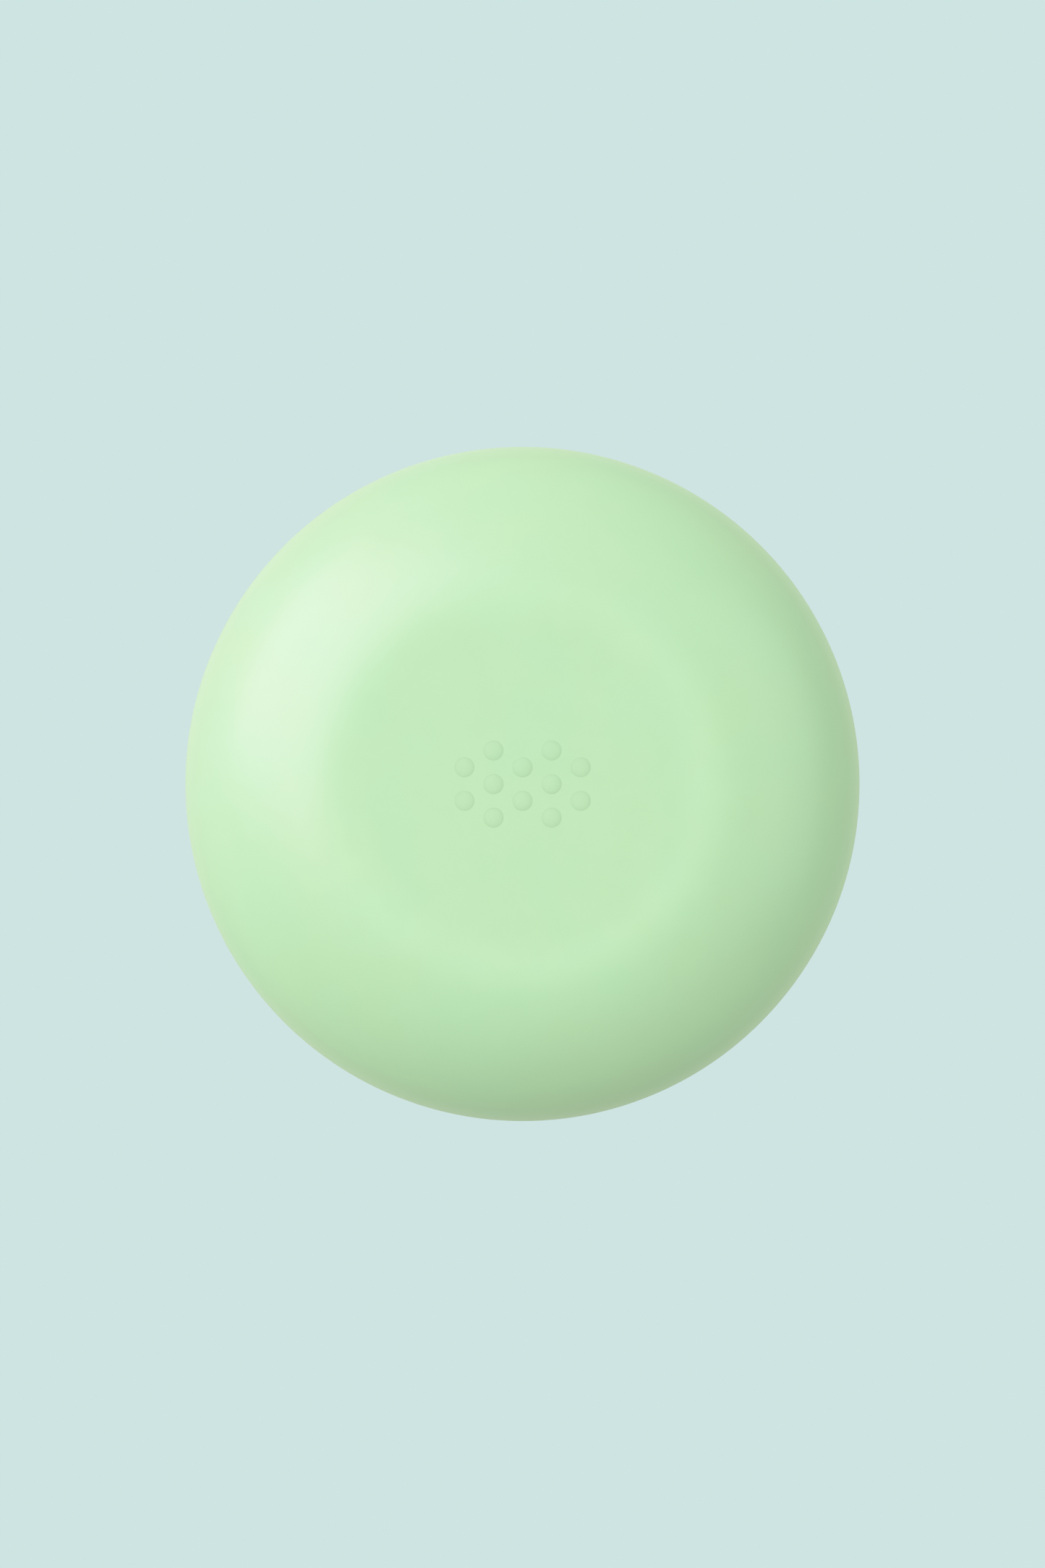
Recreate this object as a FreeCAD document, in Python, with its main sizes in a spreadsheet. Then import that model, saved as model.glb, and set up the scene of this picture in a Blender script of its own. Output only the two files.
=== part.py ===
"""A shaving soap puck: one pressed cake of soap with twelve small raised beads in the middle of its top.

Units are millimetres. +Z is up, and the origin is the middle of the flat underside that the puck rests on.
The cake is a revolved solid. Each bead is a solid of its own, a low dome on a short stub, and the stub stands in
a round seat sunk in the cake's top. The beads are staggered like studs, in columns of two and three by turns.
"""

import FreeCAD, Part
import math
import os

import Sketcher

# Alias, value in millimetres, and what it is.
DRIVING_SIZES = [
    ("puck_radius", 37.5, "largest radius, at the girth"),
    ("shoulder_radius", 18.0, "radius of the round shoulder above the girth"),
    ("girth_band", 0.6, "height of the straight band that the press dies leave at the girth"),
    ("edge_radius", 8.0, "radius of the round lower edge"),
    ("dish_depth", 0.15, "how far the middle of the top lies below the crest of the shoulder"),
    ("recess_radius", 19.5, "radius of the shallow hollow in the underside"),
    ("recess_depth", 0.3, "depth of that hollow in the middle"),
    ("bead_radius", 1.15, "radius of a bead and of its stub and seat"),
    ("bead_wall", 0.02, "height at which a bead's dome starts, above the middle of the top"),
    ("bead_rise", 0.07, "height of a bead's crown above the middle of the top"),
    ("seat_depth", 0.8, "depth of a bead's seat below the middle of the top"),
    ("bead_pitch", 3.6, "distance from a bead to its nearest neighbours"),
]

# Heights that several features share, as formulas of the sheet's cells.
CREST_HEIGHT = "<<Sizes>>.edge_radius + <<Sizes>>.girth_band + <<Sizes>>.shoulder_radius"
TOP_HEIGHT = CREST_HEIGHT + " - <<Sizes>>.dish_depth"

# The beads stand on a triangular lattice, so that each is one pitch from its nearest neighbours. Column 0 is the
# middle one, and the columns with an odd number hold three beads.
COLUMNS = range(-2, 3)
COLUMN_STEP = math.sqrt(3) / 2

# Where a Sketcher constraint takes hold of a piece of geometry.
START, END, CENTRE = 1, 2, 3
HORIZONTAL_AXIS, VERTICAL_AXIS = -1, -2
ORIGIN = (-1, 1)

UP = FreeCAD.Vector(0, 0, 1)


def make_sheet(doc):
    """The spreadsheet of driving dimensions."""
    sheet = doc.addObject("Spreadsheet::Sheet", "Sizes")
    for row, (alias, value, meaning) in enumerate(DRIVING_SIZES, start=1):
        sheet.set(f"A{row}", alias)
        sheet.set(f"B{row}", str(value))
        sheet.set(f"C{row}", meaning)
        sheet.setAlias(f"B{row}", alias)
    doc.recompute()
    return sheet


def origin_plane(body, role):
    """One of the body's own origin planes, such as XY_Plane."""
    return next(f for f in body.Origin.OriginFeatures if f.Role == role)


def sketch_on(body, name, role):
    """An empty sketch on one of the body's origin planes."""
    sketch = body.newObject("Sketcher::SketchObject", name)
    sketch.AttachmentSupport = [(origin_plane(body, role), "")]
    sketch.MapMode = "FlatFace"
    return sketch


def bind(sketch, constraint, name, formula):
    """Adds a dimension to the sketch and ties it to a formula of the sheet's cells."""
    index = sketch.addConstraint(constraint)
    sketch.renameConstraint(index, name)
    sketch.setExpression(f"Constraints.{name}", formula)


def revolve(body, sketch, name):
    """Turns the sketch a full turn about its vertical axis."""
    turned = body.newObject("PartDesign::Revolution", name)
    turned.Profile = sketch
    turned.ReferenceAxis = (sketch, ["V_Axis"])
    turned.Angle = 360.0
    sketch.Visibility = False
    return turned


def vector(x, y):
    return FreeCAD.Vector(x, y, 0)


def draw_cake_profile(sketch, size):
    """Half of the cake's section: the axis, recess, foot, lower edge, girth band, shoulder and dish."""
    r, edge, shoulder = size.puck_radius, size.edge_radius, size.shoulder_radius
    girth_low, girth_high = edge, edge + size.girth_band
    crest = girth_high + shoulder
    middle = crest - size.dish_depth
    recess_arc = (size.recess_radius**2 + size.recess_depth**2) / (2 * size.recess_depth)
    dish_arc = ((r - shoulder) ** 2 + size.dish_depth**2) / (2 * size.dish_depth)

    axis = sketch.addGeometry(Part.LineSegment(vector(0, middle), vector(0, size.recess_depth)))
    recess = sketch.addGeometry(Part.ArcOfCircle(
        Part.Circle(vector(0, size.recess_depth - recess_arc), UP, recess_arc),
        math.acos(size.recess_radius / recess_arc), math.pi / 2))
    foot = sketch.addGeometry(Part.LineSegment(vector(size.recess_radius, 0), vector(r - edge, 0)))
    lower_edge = sketch.addGeometry(Part.ArcOfCircle(
        Part.Circle(vector(r - edge, girth_low), UP, edge), -math.pi / 2, 0))
    band = sketch.addGeometry(Part.LineSegment(vector(r, girth_low), vector(r, girth_high)))
    round_shoulder = sketch.addGeometry(Part.ArcOfCircle(
        Part.Circle(vector(r - shoulder, girth_high), UP, shoulder), 0, math.pi / 2))
    dish = sketch.addGeometry(Part.ArcOfCircle(
        Part.Circle(vector(0, middle + dish_arc), UP, dish_arc),
        -math.pi / 2, -math.acos((r - shoulder) / dish_arc)))

    join = Sketcher.Constraint
    sketch.addConstraint([
        join("PointOnObject", axis, START, VERTICAL_AXIS),
        join("PointOnObject", axis, END, VERTICAL_AXIS),
        join("PointOnObject", recess, CENTRE, VERTICAL_AXIS),
        join("PointOnObject", dish, CENTRE, VERTICAL_AXIS),
        join("PointOnObject", foot, START, HORIZONTAL_AXIS),
        join("PointOnObject", foot, END, HORIZONTAL_AXIS),
        join("Vertical", band),
        join("Coincident", axis, END, recess, END),
        join("Coincident", recess, START, foot, START),
        join("Tangent", foot, END, lower_edge, START),
        join("Tangent", lower_edge, END, band, START),
        join("Tangent", band, END, round_shoulder, START),
        join("Tangent", round_shoulder, END, dish, END),
        join("Coincident", dish, START, axis, START),
    ])
    length = "<<Sizes>>."
    bind(sketch, join("DistanceX", *ORIGIN, band, START, r), "girth", length + "puck_radius")
    bind(sketch, join("Radius", lower_edge, edge), "edge", length + "edge_radius")
    bind(sketch, join("DistanceY", band, START, band, END, size.girth_band), "band", length + "girth_band")
    bind(sketch, join("Radius", round_shoulder, shoulder), "shoulder", length + "shoulder_radius")
    bind(sketch, join("DistanceY", *ORIGIN, axis, START, middle), "top", TOP_HEIGHT)
    bind(sketch, join("DistanceX", *ORIGIN, foot, START, size.recess_radius), "recess", length + "recess_radius")
    bind(sketch, join("DistanceY", *ORIGIN, axis, END, size.recess_depth), "hollow", length + "recess_depth")


def bead_places():
    """Each bead's place as (steps along X, steps along Y), counted in pitches from the axis."""
    for column in COLUMNS:
        beads = 3 if column % 2 else 2
        for row in range(beads):
            yield column * COLUMN_STEP, row - (beads - 1) / 2


def pitches(steps):
    """The formula for a length of so many bead pitches."""
    return f"<<Sizes>>.bead_pitch * {steps}"


def place_centre(sketch, circle, kind, name, steps, pitch, axis_at_zero):
    """Ties a circle's centre to its place along one axis, or to the other axis where that place is zero."""
    if steps:
        bind(sketch, Sketcher.Constraint(kind, *ORIGIN, circle, CENTRE, steps * pitch), name, pitches(steps))
    else:
        sketch.addConstraint(Sketcher.Constraint("PointOnObject", circle, CENTRE, axis_at_zero))


def cut_bead_seats(doc, body, size):
    """One round seat for each bead, cut upwards from the seats' floor."""
    sketch = sketch_on(body, "seat_circles", "XY_Plane")
    sketch.setExpression("AttachmentOffset.Base.z", TOP_HEIGHT + " - <<Sizes>>.seat_depth")
    pitch = size.bead_pitch
    for number, (along_x, along_y) in enumerate(bead_places(), start=1):
        centre = vector(along_x * pitch, along_y * pitch)
        seat = sketch.addGeometry(Part.Circle(centre, UP, size.bead_radius))
        place_centre(sketch, seat, "DistanceX", f"x_{number}", along_x, pitch, VERTICAL_AXIS)
        place_centre(sketch, seat, "DistanceY", f"y_{number}", along_y, pitch, HORIZONTAL_AXIS)
        radius = Sketcher.Constraint("Radius", seat, size.bead_radius)
        bind(sketch, radius, f"radius_{number}", "<<Sizes>>.bead_radius")
    doc.recompute()

    seats = body.newObject("PartDesign::Pocket", "bead_seats")
    seats.Profile = sketch
    seats.Type = "Length"
    seats.Reversed = True
    seats.setExpression("Length", "<<Sizes>>.seat_depth + <<Sizes>>.dish_depth")
    sketch.Visibility = False
    body.Tip = seats
    doc.recompute()


def make_cake(doc, size):
    """The pressed cake of soap, with the seats that the beads stand in."""
    body = doc.addObject("PartDesign::Body", "soap_cake")
    body.Label = "soap_cake"
    profile = sketch_on(body, "cake_profile", "XZ_Plane")
    draw_cake_profile(profile, size)
    revolve(body, profile, "cake_turned")
    doc.recompute()
    solid = body.Shape.Volume
    cut_bead_seats(doc, body, size)
    seats = len(list(bead_places()))
    expected = seats * math.pi * size.bead_radius**2 * size.seat_depth
    removed = solid - body.Shape.Volume
    if not 0.95 * expected < removed < 1.1 * expected:
        raise RuntimeError(f"the bead seats remove {removed:.2f} mm3, and {expected:.2f} mm3 is expected")
    return body


def draw_bead_profile(sketch, size):
    """Half of a bead's section: the axis, the stub's foot and side, and the dome."""
    r, wall, rise, depth = size.bead_radius, size.bead_wall, size.bead_rise, size.seat_depth
    sagitta = rise - wall
    dome_radius = (r**2 + sagitta**2) / (2 * sagitta)
    axis = sketch.addGeometry(Part.LineSegment(vector(0, rise), vector(0, -depth)))
    foot = sketch.addGeometry(Part.LineSegment(vector(0, -depth), vector(r, -depth)))
    side = sketch.addGeometry(Part.LineSegment(vector(r, -depth), vector(r, wall)))
    dome = sketch.addGeometry(Part.ArcOfCircle(
        Part.Circle(vector(0, rise - dome_radius), UP, dome_radius),
        math.acos(r / dome_radius), math.pi / 2))
    join = Sketcher.Constraint
    sketch.addConstraint([
        join("PointOnObject", axis, START, VERTICAL_AXIS),
        join("PointOnObject", axis, END, VERTICAL_AXIS),
        join("PointOnObject", dome, CENTRE, VERTICAL_AXIS),
        join("Coincident", axis, END, foot, START),
        join("Horizontal", foot),
        join("Coincident", foot, END, side, START),
        join("Vertical", side),
        join("Coincident", side, END, dome, START),
        join("Coincident", dome, END, axis, START),
    ])
    bind(sketch, join("Distance", foot, r), "radius", "<<Sizes>>.bead_radius")
    bind(sketch, join("DistanceY", foot, START, *ORIGIN, depth), "stub", "<<Sizes>>.seat_depth")
    bind(sketch, join("DistanceY", *ORIGIN, side, END, wall), "wall", "<<Sizes>>.bead_wall")
    bind(sketch, join("DistanceY", *ORIGIN, axis, START, rise), "rise", "<<Sizes>>.bead_rise")


def make_bead(doc, size, number, along_x, along_y):
    """One raised bead, placed in its seat."""
    name = f"bead_{number:02d}"
    body = doc.addObject("PartDesign::Body", name)
    body.Label = name
    profile = sketch_on(body, f"{name}_profile", "XZ_Plane")
    draw_bead_profile(profile, size)
    revolve(body, profile, f"{name}_turned")
    body.setExpression("Placement.Base.x", pitches(along_x))
    body.setExpression("Placement.Base.y", pitches(along_y))
    body.setExpression("Placement.Base.z", TOP_HEIGHT)
    doc.recompute()
    return body


def check(doc, subparts):
    """Stops before anything is written if an object failed or a shape is no good solid."""
    for item in doc.Objects:
        if {"Invalid", "Error"} & set(item.State):
            raise RuntimeError(f"{item.Name} failed: {item.State}")
    for item in subparts:
        if item.Shape.isNull() or not item.Shape.isValid() or not item.Shape.Solids:
            raise RuntimeError(f"{item.Label} is no valid solid")


def write(subparts):
    """One STEP file for each sub-part, named by its label."""
    os.makedirs("parts", exist_ok=True)
    for item in subparts:
        item.Shape.exportStep(os.path.join("parts", item.Label + ".step"))
        box = item.Shape.BoundBox
        print(f"{item.Label}: {item.Shape.Volume:.2f} mm3, {box.XLength:.2f} x {box.YLength:.2f} x "
              f"{box.ZLength:.2f} mm, z {box.ZMin:.3f} to {box.ZMax:.3f}")


def main():
    doc = FreeCAD.newDocument("shaving_soap_puck")
    size = make_sheet(doc)
    subparts = [make_cake(doc, size)]
    for number, (along_x, along_y) in enumerate(bead_places(), start=1):
        subparts.append(make_bead(doc, size, number, along_x, along_y))
    doc.recompute()
    check(doc, subparts)
    write(subparts)


main()
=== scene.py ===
"""The looks of a pressed puck of shaving soap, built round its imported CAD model.

Lengths are in metres, in the CAD model's own frame: +Z is up, and the puck stands on z = 0 with its axis
on the Z axis. The cake and its twelve raised beads are meshes of their own, made here by turning an
outline about an axis.
"""

import math
from types import SimpleNamespace

import bpy
import numpy as np
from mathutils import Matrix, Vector, noise


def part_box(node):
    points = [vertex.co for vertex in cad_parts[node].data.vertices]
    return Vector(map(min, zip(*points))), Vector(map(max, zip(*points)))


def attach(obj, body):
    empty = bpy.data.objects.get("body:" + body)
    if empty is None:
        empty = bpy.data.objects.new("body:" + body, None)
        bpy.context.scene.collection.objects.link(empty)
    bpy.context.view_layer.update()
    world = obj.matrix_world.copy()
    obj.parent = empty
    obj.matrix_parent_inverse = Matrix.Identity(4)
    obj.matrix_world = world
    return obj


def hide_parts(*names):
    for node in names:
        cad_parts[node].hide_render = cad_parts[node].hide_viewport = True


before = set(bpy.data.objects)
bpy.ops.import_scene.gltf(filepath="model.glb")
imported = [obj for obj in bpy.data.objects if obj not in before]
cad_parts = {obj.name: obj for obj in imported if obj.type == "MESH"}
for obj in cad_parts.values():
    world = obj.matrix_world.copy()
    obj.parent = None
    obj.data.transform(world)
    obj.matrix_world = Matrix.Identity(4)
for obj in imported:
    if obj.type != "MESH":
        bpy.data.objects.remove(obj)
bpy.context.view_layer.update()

MM = 0.001

# The cake's radius and height, and the beads' size and crown, come from the frame.
CAKE_NODE = "soap_cake"
BEAD_NODES = sorted(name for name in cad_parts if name.startswith("bead_"))
PUCK_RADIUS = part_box(CAKE_NODE)[1].x
CREST_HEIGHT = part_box(CAKE_NODE)[1].z
BEAD_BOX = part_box(BEAD_NODES[0])
BEAD_RADIUS = (BEAD_BOX[1].x - BEAD_BOX[0].x) / 2
BEAD_CROWN = BEAD_BOX[1].z

# The rest of the cake's outline.
SHOULDER_RADIUS = 18.0 * MM
EDGE_RADIUS = 8.0 * MM
DISH_DEPTH = 0.15 * MM
RECESS_RADIUS = 19.5 * MM
RECESS_DEPTH = 0.3 * MM
GIRTH_TOP = CREST_HEIGHT - SHOULDER_RADIUS
GIRTH_MIDDLE = (GIRTH_TOP + EDGE_RADIUS) / 2
CREST_RADIUS = PUCK_RADIUS - SHOULDER_RADIUS
FOOT_RADIUS = PUCK_RADIUS - EDGE_RADIUS

# Small shapes that the press and the dies leave. The waves have two lengths, and fade towards the foot.
WAVE_HEIGHT = 0.012 * MM
LONG_WAVE = 14 * MM
SHORT_WAVE = 5 * MM
WAVES_FADE_BELOW = 3 * MM
FLASH_HEIGHT = 0.09 * MM
FLASH_WIDTH = 0.11 * MM
FLASH_GROOVE = 1.1 * MM
BEAD_FILLET = 0.22 * MM
BEAD_SINK = 0.006 * MM
BEAD_STUB = 0.3 * MM

# How finely the meshes are cut: segments round the axis, the radius of the grid over the axis, and steps
# along each stretch of the outline.
CAKE_SEGMENTS = 256
CAKE_CORE = 9 * MM
DISH_STEPS = 16
SHOULDER_STEPS = 66
GIRTH_STEPS = 16
EDGE_STEPS = 32
FOOT_STEPS = 12
RECESS_STEPS = 12
BEAD_SEGMENTS = 64
BEAD_CORE = 0.4 * BEAD_RADIUS
BEAD_STEPS = 27


# Outlines and surfaces


def arc(centre_r, centre_z, radius, start, end, steps):
    """Points (r, z) of an arc from the start angle to the end angle, in degrees, without its last point."""
    for step in range(steps):
        angle = math.radians(start + (end - start) * step / steps)
        yield centre_r + radius * math.cos(angle), centre_z + radius * math.sin(angle)


def straight(start, end, steps):
    """Points (r, z) of a straight run, without its last point."""
    for step in range(steps):
        share = step / steps
        yield tuple(a + (b - a) * share for a, b in zip(start, end))


def top_height(r):
    return CREST_HEIGHT - DISH_DEPTH * (1 - (r / CREST_RADIUS) ** 2)


def underside_height(r):
    return RECESS_DEPTH * max(0.0, 1 - (r / RECESS_RADIUS) ** 2)


def cake_outline():
    """The cake's half section from the dish, over the shoulder and the girth, to the hollow underneath."""
    dish_slope = math.atan(2 * DISH_DEPTH / CREST_RADIUS)
    dish_end = CREST_RADIUS - SHOULDER_RADIUS * math.sin(dish_slope)
    shoulder_start = 90 + math.degrees(dish_slope)
    outline = [(r, top_height(r)) for r in np.linspace(CAKE_CORE, dish_end, DISH_STEPS, endpoint=False)]
    outline += arc(CREST_RADIUS, GIRTH_TOP, SHOULDER_RADIUS, shoulder_start, 0, SHOULDER_STEPS)
    outline += straight((PUCK_RADIUS, GIRTH_TOP), (PUCK_RADIUS, EDGE_RADIUS), GIRTH_STEPS)
    outline += arc(FOOT_RADIUS, EDGE_RADIUS, EDGE_RADIUS, 0, -90, EDGE_STEPS)
    outline += straight((FOOT_RADIUS, 0), (RECESS_RADIUS, 0), FOOT_STEPS)
    outline += [(r, underside_height(r)) for r in np.linspace(RECESS_RADIUS, CAKE_CORE, RECESS_STEPS + 1)]
    return outline


def press_relief(x, y, z):
    """How far the cake's skin stands out at a point: faint waves of the pressing, and none at the foot."""
    long_waves = noise.noise(Vector((x, y, z)) / LONG_WAVE)
    short_waves = noise.noise(Vector((y, z, x)) / SHORT_WAVE)
    return WAVE_HEIGHT * (long_waves + 0.4 * short_waves) * min(1.0, z / WAVES_FADE_BELOW)


def flash_relief(x, y, z):
    """The line where the two dies met: a fine ridge in a shallow groove, trimmed a little unevenly."""
    off = z - GIRTH_MIDDLE
    groove = math.exp(-((off / FLASH_GROOVE) ** 2))
    angle = math.atan2(y, x)
    changes_per_radian = 9
    round_girth = Vector((changes_per_radian * math.cos(angle), changes_per_radian * math.sin(angle), 0))
    left_by_trimming = 0.8 + 0.35 * noise.noise(round_girth)
    ridge = math.exp(-((off / FLASH_WIDTH) ** 2)) * left_by_trimming
    return FLASH_HEIGHT * (min(ridge, 1.0) - groove)


def bead_height(r, rise):
    """Height of a bead above the cake at r from its axis: a round dome that a fillet joins to the cake."""
    dome = (BEAD_RADIUS**2 / rise + rise) / 2 - BEAD_FILLET
    if r < BEAD_RADIUS * dome / (dome + BEAD_FILLET):
        return rise - dome + math.sqrt(dome**2 - r**2)
    return BEAD_FILLET - math.sqrt(max(0.0, BEAD_FILLET**2 - (BEAD_RADIUS - r) ** 2))


# Meshes


def disc_grid(side):
    """A square grid bent into a disc of radius 1: its points (x, y), its quads, and its rim in order."""
    angles = [math.radians(-45 + 90 * step / side) for step in range(side + 1)]
    points = [(math.sqrt(2) * math.sin(a) * math.cos(b), math.sqrt(2) * math.sin(b) * math.cos(a))
              for b in angles for a in angles]
    row = side + 1
    quads = [(i, i + 1, i + row + 1, i + row) for j in range(side) for i in range(j * row, j * row + side)]
    right = [j * row + side for j in range(side)]
    top = [side * row + side - i for i in range(side)]
    left = [(side - j) * row for j in range(side)]
    bottom = list(range(side))
    return points, quads, right + top + left + bottom


def turned_mesh(name, outline, top, bottom, segments):
    """A closed mesh of quads: rings that follow the outline, and a bent square grid over each end.

    outline holds (r, z) from the rim of the top grid to the rim of the bottom grid. top and bottom give z
    for r on the two grids.
    """
    grid, quads, rim = disc_grid(segments // 4)
    first_angle = math.radians(-45)
    points, faces = [], []

    def add_grid(radius, height, flip):
        start = len(points)
        points.extend((x * radius, y * radius, height(math.hypot(x, y) * radius)) for x, y in grid)
        faces.extend(tuple(start + i for i in (quad[::-1] if flip else quad)) for quad in quads)
        return [start + i for i in rim]

    def add_ring(radius, height):
        start = len(points)
        angles = [first_angle + 2 * math.pi * i / segments for i in range(segments)]
        points.extend((radius * math.cos(a), radius * math.sin(a), height) for a in angles)
        return list(range(start, start + segments))

    rings = [add_grid(outline[0][0], top, False)]
    rings += [add_ring(radius, height) for radius, height in outline[1:-1]]
    rings.append(add_grid(outline[-1][0], bottom, True))
    for inner, outer in zip(rings, rings[1:]):
        faces.extend((inner[i - 1], outer[i - 1], outer[i], inner[i]) for i in range(segments))

    mesh = bpy.data.meshes.new(name)
    mesh.from_pydata(points, [], faces)
    mesh.polygons.foreach_set("use_smooth", [True] * len(mesh.polygons))
    return mesh


def place(name, mesh, location):
    piece = bpy.data.objects.new(name, mesh)
    piece.location = location
    bpy.context.scene.collection.objects.link(piece)
    return piece


# Materials


class Nodes:
    """A node tree that takes a node, its settings and its inputs in one call."""

    def __init__(self, tree):
        self.tree = tree
        tree.nodes.clear()

    def add(self, kind, inputs=None, **settings):
        node = self.tree.nodes.new("ShaderNode" + kind)
        for name, value in settings.items():
            setattr(node, name, value)
        for name, value in (inputs or {}).items():
            if isinstance(value, bpy.types.NodeSocket):
                self.tree.links.new(value, node.inputs[name])
            else:
                node.inputs[name].default_value = value
        return node


def new_material(name):
    material = bpy.data.materials.new(name)
    material.use_nodes = True
    return material, Nodes(material.node_tree)


# The soap's two greens, and the size of the features in each of its patterns.
SOAP_COOL = (0.552, 0.862, 0.556)
SOAP_WARM = (0.568, 0.856, 0.544)
MOTTLE_SIZE = 12 * MM
STREAK_SIZE = 4.5 * MM
PEEL_SIZE = 0.7 * MM
GRAIN_SIZE = 0.16 * MM

# Nearly all of a noise texture lies between these.
NOISE_LOW, NOISE_HIGH = 0.3, 0.7

# How far dry soap reaches from the flash line, and how high up the worn foot reaches.
DRY_WIDTH = 0.2 * MM
FOOT_HEIGHT = 0.5 * MM

# The die's turning marks under the foot. A ring wave of scale 1 has 20 / (2 pi) rings to the metre.
TURNING_PITCH = 0.8 * MM
TURNING_SCALE = 2 * math.pi / (20 * TURNING_PITCH)

# The lowest roughness of the cake and of the beads, how far it wanders, and how much is added on the dry
# flash and on the foot.
CAKE_ROUGHNESS = 0.30
BEAD_ROUGHNESS = 0.52
ROUGHNESS_WANDER = 0.06
FLASH_DULLNESS = 0.15
FOOT_DULLNESS = 0.12


def distance_from_axis(nodes, point, radius):
    """A place's distance from its object's Z axis, as a share of the radius."""
    flat = nodes.add("VectorMath", {0: point, 1: (1 / radius, 1 / radius, 0)}, operation="MULTIPLY")
    return nodes.add("VectorMath", {0: flat.outputs[0]}, operation="LENGTH").outputs["Value"]


def ramp(nodes, value, stops, interpolation="EASE"):
    """A grey ramp through stops of (place, brightness)."""
    node = nodes.add("ValToRGB", {"Fac": value})
    node.color_ramp.interpolation = interpolation
    elements = node.color_ramp.elements
    while len(elements) < len(stops):
        elements.new(1.0)
    for element, (place_on_ramp, brightness) in zip(elements, stops):
        element.position = place_on_ramp
        element.color = (brightness, brightness, brightness, 1)
    return node.outputs["Color"]


def calculate(nodes, operation, first, second):
    return nodes.add("Math", {0: first, 1: second}, operation=operation).outputs[0]


def remap(nodes, value, low, high, new_low, new_high):
    inputs = {"Value": value, "From Min": low, "From Max": high, "To Min": new_low, "To Max": new_high}
    return nodes.add("MapRange", inputs, interpolation_type="SMOOTHSTEP").outputs["Result"]


def soap_patterns(nodes, cake):
    """The patterns that run through the soap, in the cake's coordinates, each from 0 to 1."""
    point = nodes.add("TexCoord", object=cake).outputs["Object"]
    height = nodes.add("SeparateXYZ", {0: point}).outputs["Z"]
    from_flash = calculate(nodes, "ABSOLUTE", calculate(nodes, "SUBTRACT", height, GIRTH_MIDDLE), 0)
    rings = {"Vector": point, "Scale": TURNING_SCALE, "Distortion": 0.6}

    def cloud(size, detail, distortion=0.0):
        inputs = {"Vector": point, "Scale": 1 / size, "Detail": detail, "Distortion": distortion}
        return nodes.add("TexNoise", inputs).outputs["Fac"]

    return SimpleNamespace(
        mottle=cloud(MOTTLE_SIZE, 2),
        streaks=cloud(STREAK_SIZE, 3, 1.2),
        peel=cloud(PEEL_SIZE, 2),
        grain=cloud(GRAIN_SIZE, 1),
        turning=nodes.add("TexWave", rings, wave_type="RINGS", rings_direction="Z").outputs["Fac"],
        foot=remap(nodes, height, 0.0, FOOT_HEIGHT, 1.0, 0.0),
        flash=remap(nodes, from_flash, 0.0, DRY_WIDTH, 1.0, 0.0),
    )


def soap_colour(nodes, soap, tone_and_painted_light_stops, tone_radius):
    """A cool and a warm green in soft clouds, lighter on the dry flash and deeper on the worn foot."""
    own = nodes.add("TexCoord").outputs["Object"]
    green = nodes.add("Mix", {
        "Factor": remap(nodes, soap.mottle, NOISE_LOW, NOISE_HIGH, 0.0, 1.0),
        "A": (*SOAP_COOL, 1),
        "B": (*SOAP_WARM, 1),
    }, data_type="RGBA").outputs["Result"]
    # The tone stops paint a highlight on the cake's crest, a sheen on its girth and shade round each bead.
    tone = ramp(nodes, distance_from_axis(nodes, own, tone_radius), tone_and_painted_light_stops)
    tinges = [
        (soap.streaks, 0.993, 1.007),
        (soap.grain, 0.99, 1.01),
        (soap.flash, 1.0, 1.05),
        (soap.foot, 1.0, 0.97),
    ]
    for pattern, at_zero, at_one in tinges:
        tone = calculate(nodes, "MULTIPLY", tone, remap(nodes, pattern, 0.0, 1.0, at_zero, at_one))
    return nodes.add("VectorMath", {0: green, 3: tone}, operation="SCALE").outputs[0]


def soap_roughness(nodes, soap, smoothest):
    """A soft gloss that wanders a little, and is duller on the flash and the foot."""
    roughness = remap(nodes, soap.streaks, NOISE_LOW, NOISE_HIGH, smoothest, smoothest + ROUGHNESS_WANDER)
    for pattern, extra in ((soap.flash, FLASH_DULLNESS), (soap.foot, FOOT_DULLNESS)):
        roughness = calculate(nodes, "ADD", roughness, calculate(nodes, "MULTIPLY", pattern, extra))
    return roughness


def soap_relief(nodes, soap):
    """Orange peel and grain all over, and deeper turning marks of the die underneath."""
    marks = calculate(nodes, "MULTIPLY", soap.turning, soap.foot)
    relief = calculate(nodes, "MULTIPLY", marks, 4.0)
    for pattern, depth in ((soap.peel, 0.6), (soap.grain, 0.2)):
        relief = calculate(nodes, "ADD", relief, calculate(nodes, "MULTIPLY", pattern, depth))
    bump = {"Strength": 0.5, "Distance": 0.006 * MM, "Height": relief}
    return nodes.add("Bump", bump).outputs["Normal"]


def soap_material(name, cake, tone_and_painted_light_stops, tone_radius, smoothest):
    """Milled soap, mottled and finely grained.

    The tone stops make it lighter or darker by distance from the piece's own axis, as a share of tone_radius,
    and hold painted highlight and shade. smoothest is the lowest roughness on it.
    """
    material, nodes = new_material(name)
    soap = soap_patterns(nodes, cake)
    shader = nodes.add("BsdfPrincipled", {
        "Base Color": soap_colour(nodes, soap, tone_and_painted_light_stops, tone_radius),
        "Roughness": soap_roughness(nodes, soap, smoothest),
        "Normal": soap_relief(nodes, soap),
        "IOR": 1.46,
        "Sheen Weight": 0.12,
        "Sheen Roughness": 0.3,
    })
    nodes.add("OutputMaterial", {"Surface": shader.outputs["BSDF"]})
    return material
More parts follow.
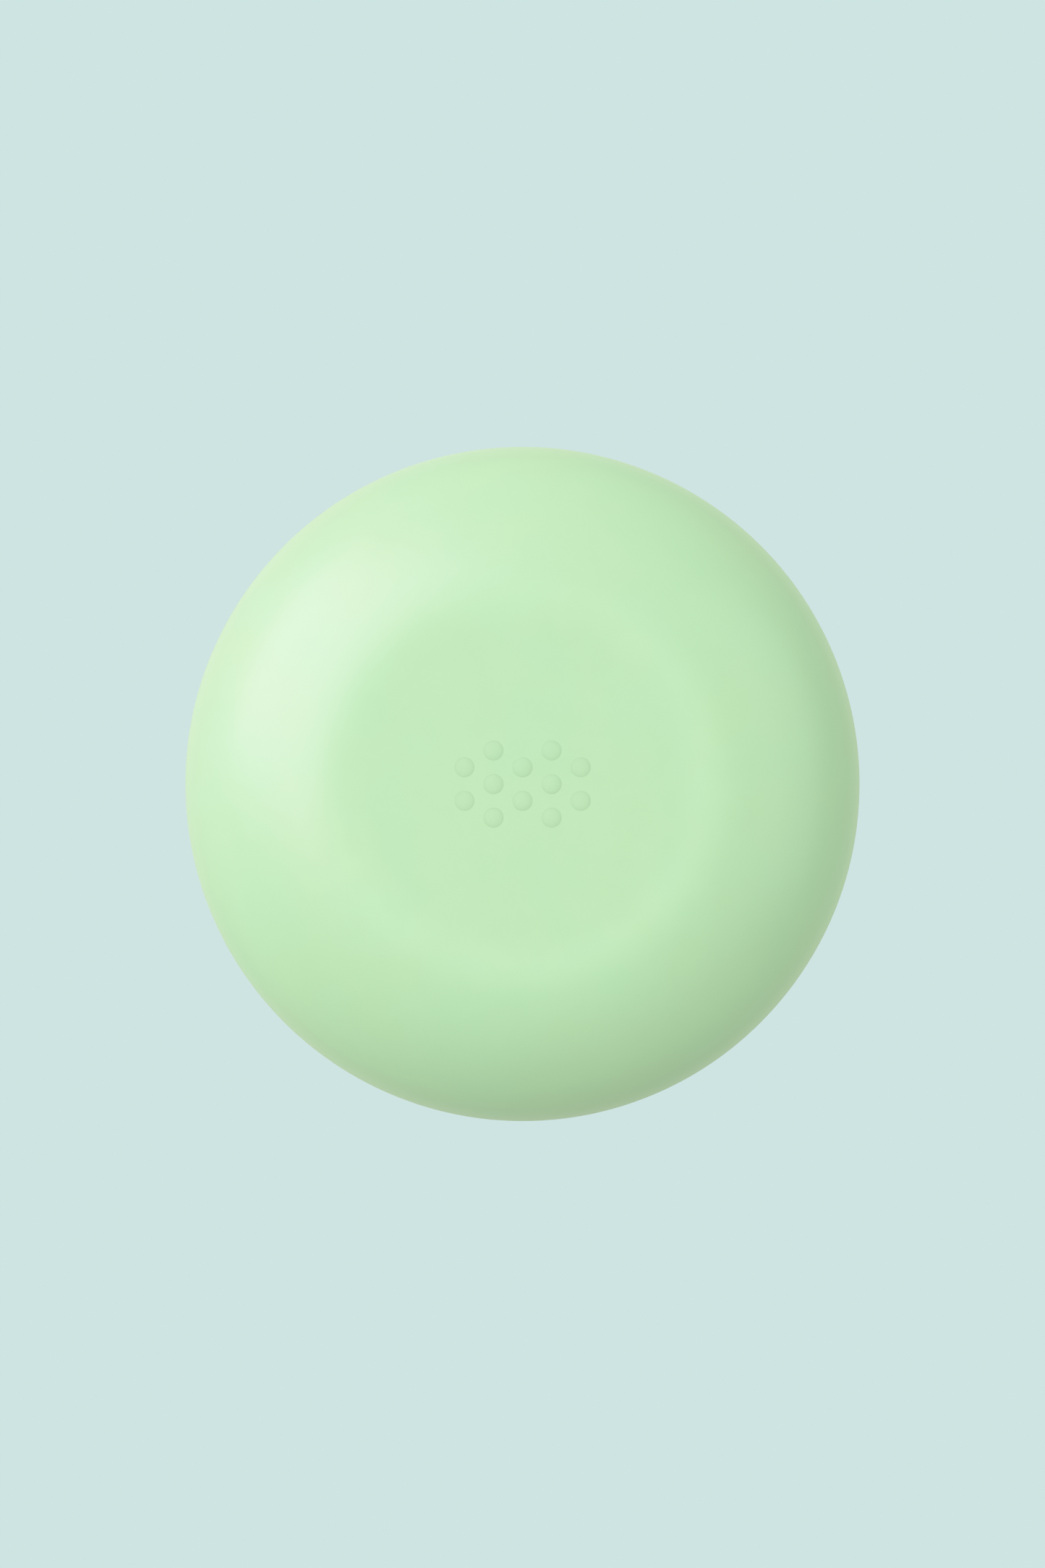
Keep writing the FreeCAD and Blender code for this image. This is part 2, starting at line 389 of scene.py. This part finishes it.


# Pieces

# How light the soap is, from a piece's axis (0) to its edge (1). On the cake a painted highlight gives its
# crest a pale ring, and a painted sheen makes its girth paler. A bead is deeper than the cake, and painted
# shade makes it darker still in the crease round it.
CAKE_TONE_AND_PAINTED_LIGHT = [(0.0, 0.975), (0.43, 0.975), (0.535, 1.01), (0.63, 0.975), (0.955, 0.975), (1.0, 1.05)]
BEAD_TONE_AND_PAINTED_SHADE = [(0.0, 0.92), (0.50, 0.912), (0.74, 0.888), (0.89, 0.84), (0.96, 0.87), (1.0, 0.945)]


def make_cake():
    mesh = turned_mesh("pressed_cake", cake_outline(), top_height, underside_height, CAKE_SEGMENTS)
    normals = [normal.vector.copy() for normal in mesh.vertex_normals]
    for vertex, normal in zip(mesh.vertices, normals):
        relief = press_relief(*vertex.co)
        if vertex.co.xy.length > CREST_RADIUS:
            relief += flash_relief(*vertex.co)
        vertex.co += relief * normal
    cake = place("pressed_cake", mesh, (0, 0, 0))
    mesh.materials.append(soap_material("pale_green_soap", cake, CAKE_TONE_AND_PAINTED_LIGHT, PUCK_RADIUS, CAKE_ROUGHNESS))
    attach(cake, "root")
    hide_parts(CAKE_NODE)
    return cake


def make_bead(node, material):
    """One bead: a dome with a filleted base that follows the cake's skin, and sinks under it at its rim."""
    low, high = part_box(node)
    centre = (low + high) / 2
    rise = BEAD_CROWN - top_height(centre.xy.length)

    def height(r):
        return bead_height(r, rise) - BEAD_SINK * (r / BEAD_RADIUS) ** 4

    outline = [(r, height(r)) for r in np.linspace(BEAD_CORE, BEAD_RADIUS, BEAD_STEPS + 1)]
    outline += [(0.97 * BEAD_RADIUS, -BEAD_STUB / 2), (0.9 * BEAD_RADIUS, -BEAD_STUB)]
    outline += [(BEAD_CORE, -BEAD_STUB)]
    mesh = turned_mesh("raised_" + node, outline, height, lambda r: -BEAD_STUB, BEAD_SEGMENTS)
    for vertex in mesh.vertices:
        x, y = centre.x + vertex.co.x, centre.y + vertex.co.y
        skin = top_height(math.hypot(x, y))
        vertex.co.z += skin + press_relief(x, y, skin)
    bead = place("raised_" + node, mesh, (centre.x, centre.y, 0))
    mesh.materials.append(material)
    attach(bead, "root")
    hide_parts(node)


# Stage, light and camera

STAGE_COLOUR = (0.617, 0.7828, 0.7640)
FLOOR_HALF = 3.0
FLOOR_GAP = 0.1 * MM

# The contact shade's brightness, and where it begins to fade, as a share of the puck's radius. It ends
# right under the girth.
CONTACT_SHADE = 0.35
SHADE_FADES_FROM = 0.76

# The light that comes from all round, and back from the floor. The floor gives more on the key light's side
# than in the puck's lee, and changes from one to the other over LEE_REACH to each side of the axis.
AMBIENT_COLOUR = (0.954, 1.0, 0.84)
AMBIENT_RADIANCE = 0.45
FLOOR_RADIANCE_LIT = 0.78
FLOOR_RADIANCE_LEE = 0.55
LEE_REACH = 60 * MM

# Each soft box: name, azimuth and elevation in degrees, width and height, radiance, and what it gives.
# Azimuth runs anticlockwise from +X. The highlight box gives only gloss, and the key and top boxes give none.
LIGHT_DISTANCE = 0.6
KEY_AZIMUTH = 137
SOFTBOXES = [
    ("key", KEY_AZIMUTH, 27, 0.88, 0.62, 1.14, "diffuse"),
    ("top", 175, 61, 0.26, 0.26, 6.1, "diffuse"),
    ("highlight", 152, 37, 0.60, 0.91, 2.65, "glossy"),
    ("side_fill", 9, 18, 0.67, 0.67, 0.84, "both"),
]


def make_floor():
    mesh = bpy.data.meshes.new("floor")
    sides = [(-1, -1), (1, -1), (1, 1), (-1, 1)]
    corners = [(x * FLOOR_HALF, y * FLOOR_HALF, -FLOOR_GAP) for x, y in sides]
    mesh.from_pydata(corners, [], [(0, 1, 2, 3)])
    mesh.materials.append(floor_material())
    place("floor", mesh, (0, 0, 0))


def floor_material():
    """Evenly lit pale paper, with a soft contact shade that stays under the puck's round lower edge.

    The puck is lit by it as by grey paper, and from below it can be looked through.
    """
    material, nodes = new_material("pale_paper")
    point = nodes.add("TexCoord").outputs["Object"]
    outwards = distance_from_axis(nodes, point, PUCK_RADIUS)
    shade = remap(nodes, outwards, SHADE_FADES_FROM, 1.0, CONTACT_SHADE, 1.0)
    key_angle = math.radians(KEY_AZIMUTH)
    to_key = (math.cos(key_angle), math.sin(key_angle), 0)
    towards_key = nodes.add("VectorMath", {0: point, 1: to_key}, operation="DOT_PRODUCT").outputs["Value"]
    bounce = remap(nodes, towards_key, -LEE_REACH, LEE_REACH, FLOOR_RADIANCE_LEE, FLOOR_RADIANCE_LIT)
    strength = calculate(nodes, "MULTIPLY", shade, bounce)
    felt = nodes.add("Emission", {"Color": (*AMBIENT_COLOUR, 1), "Strength": strength})
    seen = nodes.add("Emission", {"Color": (*STAGE_COLOUR, 1), "Strength": shade})
    is_seen = nodes.add("LightPath").outputs["Is Camera Ray"]
    glow = nodes.add("MixShader", {0: is_seen, 1: felt.outputs[0], 2: seen.outputs[0]})
    clear = nodes.add("BsdfTransparent")
    from_below = nodes.add("NewGeometry").outputs["Backfacing"]
    paper = nodes.add("MixShader", {0: from_below, 1: glow.outputs[0], 2: clear.outputs[0]})
    nodes.add("OutputMaterial", {"Surface": paper.outputs[0]})
    return material


def make_world():
    world = bpy.data.worlds.new("studio")
    world.use_nodes = True
    nodes = Nodes(world.node_tree)
    fill = nodes.add("Background", {"Color": (*AMBIENT_COLOUR, 1), "Strength": AMBIENT_RADIANCE})
    backdrop = nodes.add("Background", {"Color": (*STAGE_COLOUR, 1), "Strength": 1.0})
    is_seen = nodes.add("LightPath").outputs["Is Camera Ray"]
    mix = nodes.add("MixShader", {0: is_seen, 1: fill.outputs[0], 2: backdrop.outputs[0]})
    nodes.add("OutputWorld", {"Surface": mix.outputs[0]})
    bpy.context.scene.world = world


def softbox(name, azimuth, elevation, width, height, radiance, gives):
    """A rectangular area light that points at the puck, and isn't seen itself."""
    light = bpy.data.lights.new(name, "AREA")
    light.shape = "RECTANGLE"
    light.size, light.size_y = width, height
    light.energy = math.pi * width * height * radiance
    a, e = math.radians(azimuth), math.radians(elevation)
    lamp = bpy.data.objects.new(name, light)
    away = Vector((math.cos(a) * math.cos(e), math.sin(a) * math.cos(e), math.sin(e)))
    lamp.location = away * LIGHT_DISTANCE
    lamp.rotation_euler = away.to_track_quat("Z", "Y").to_euler()
    lamp.visible_camera = False
    lamp.visible_diffuse = gives != "glossy"
    lamp.visible_glossy = gives != "diffuse"
    bpy.context.scene.collection.objects.link(lamp)


def make_camera():
    """Straight above the puck, with +Y up in the picture."""
    lens = 100.0
    sensor = 36.0
    puck_share_of_height = 0.42943
    view_height = 2 * PUCK_RADIUS / puck_share_of_height
    data = bpy.data.cameras.new("camera")
    data.lens = lens
    data.sensor_width = sensor
    camera = bpy.data.objects.new("camera", data)
    camera.location = (0, 0, GIRTH_TOP + view_height * lens / sensor)
    bpy.context.scene.collection.objects.link(camera)
    bpy.context.scene.camera = camera


def set_tone():
    """Plain display colours, with a soft shoulder that keeps the brightest greens from clipping."""
    shoulder_start = 0.72
    shoulder_bend = 2.0
    brightest = 1.5
    steps = 11
    settings = bpy.context.scene.view_settings
    settings.view_transform = "Standard"
    settings.use_curve_mapping = True
    mapping = settings.curve_mapping
    mapping.clip_max_x = mapping.clip_max_y = brightest
    for curve in mapping.curves[:3]:
        curve.points[1].location = (brightest, brightest)
    points = mapping.curves[3].points
    points[1].location = (brightest, toned(brightest, shoulder_start, shoulder_bend))
    for value in np.linspace(shoulder_start, brightest, steps, endpoint=False):
        points.new(value, toned(value, shoulder_start, shoulder_bend))
    for point in points[:2]:
        point.handle_type = "VECTOR"
    mapping.update()


def toned(value, start, bend):
    """The displayed value of a bright one: unchanged up to start, and held back more and more above it."""
    over = max(0.0, value - start)
    return min(value, start) + over / (1 + bend * over)


pressed_cake = make_cake()
bead_soap = soap_material("pale_green_bead_soap", pressed_cake, BEAD_TONE_AND_PAINTED_SHADE, BEAD_RADIUS, BEAD_ROUGHNESS)
for bead_node in BEAD_NODES:
    make_bead(bead_node, bead_soap)
make_floor()
make_world()
for box in SOFTBOXES:
    softbox(*box)
make_camera()
set_tone()
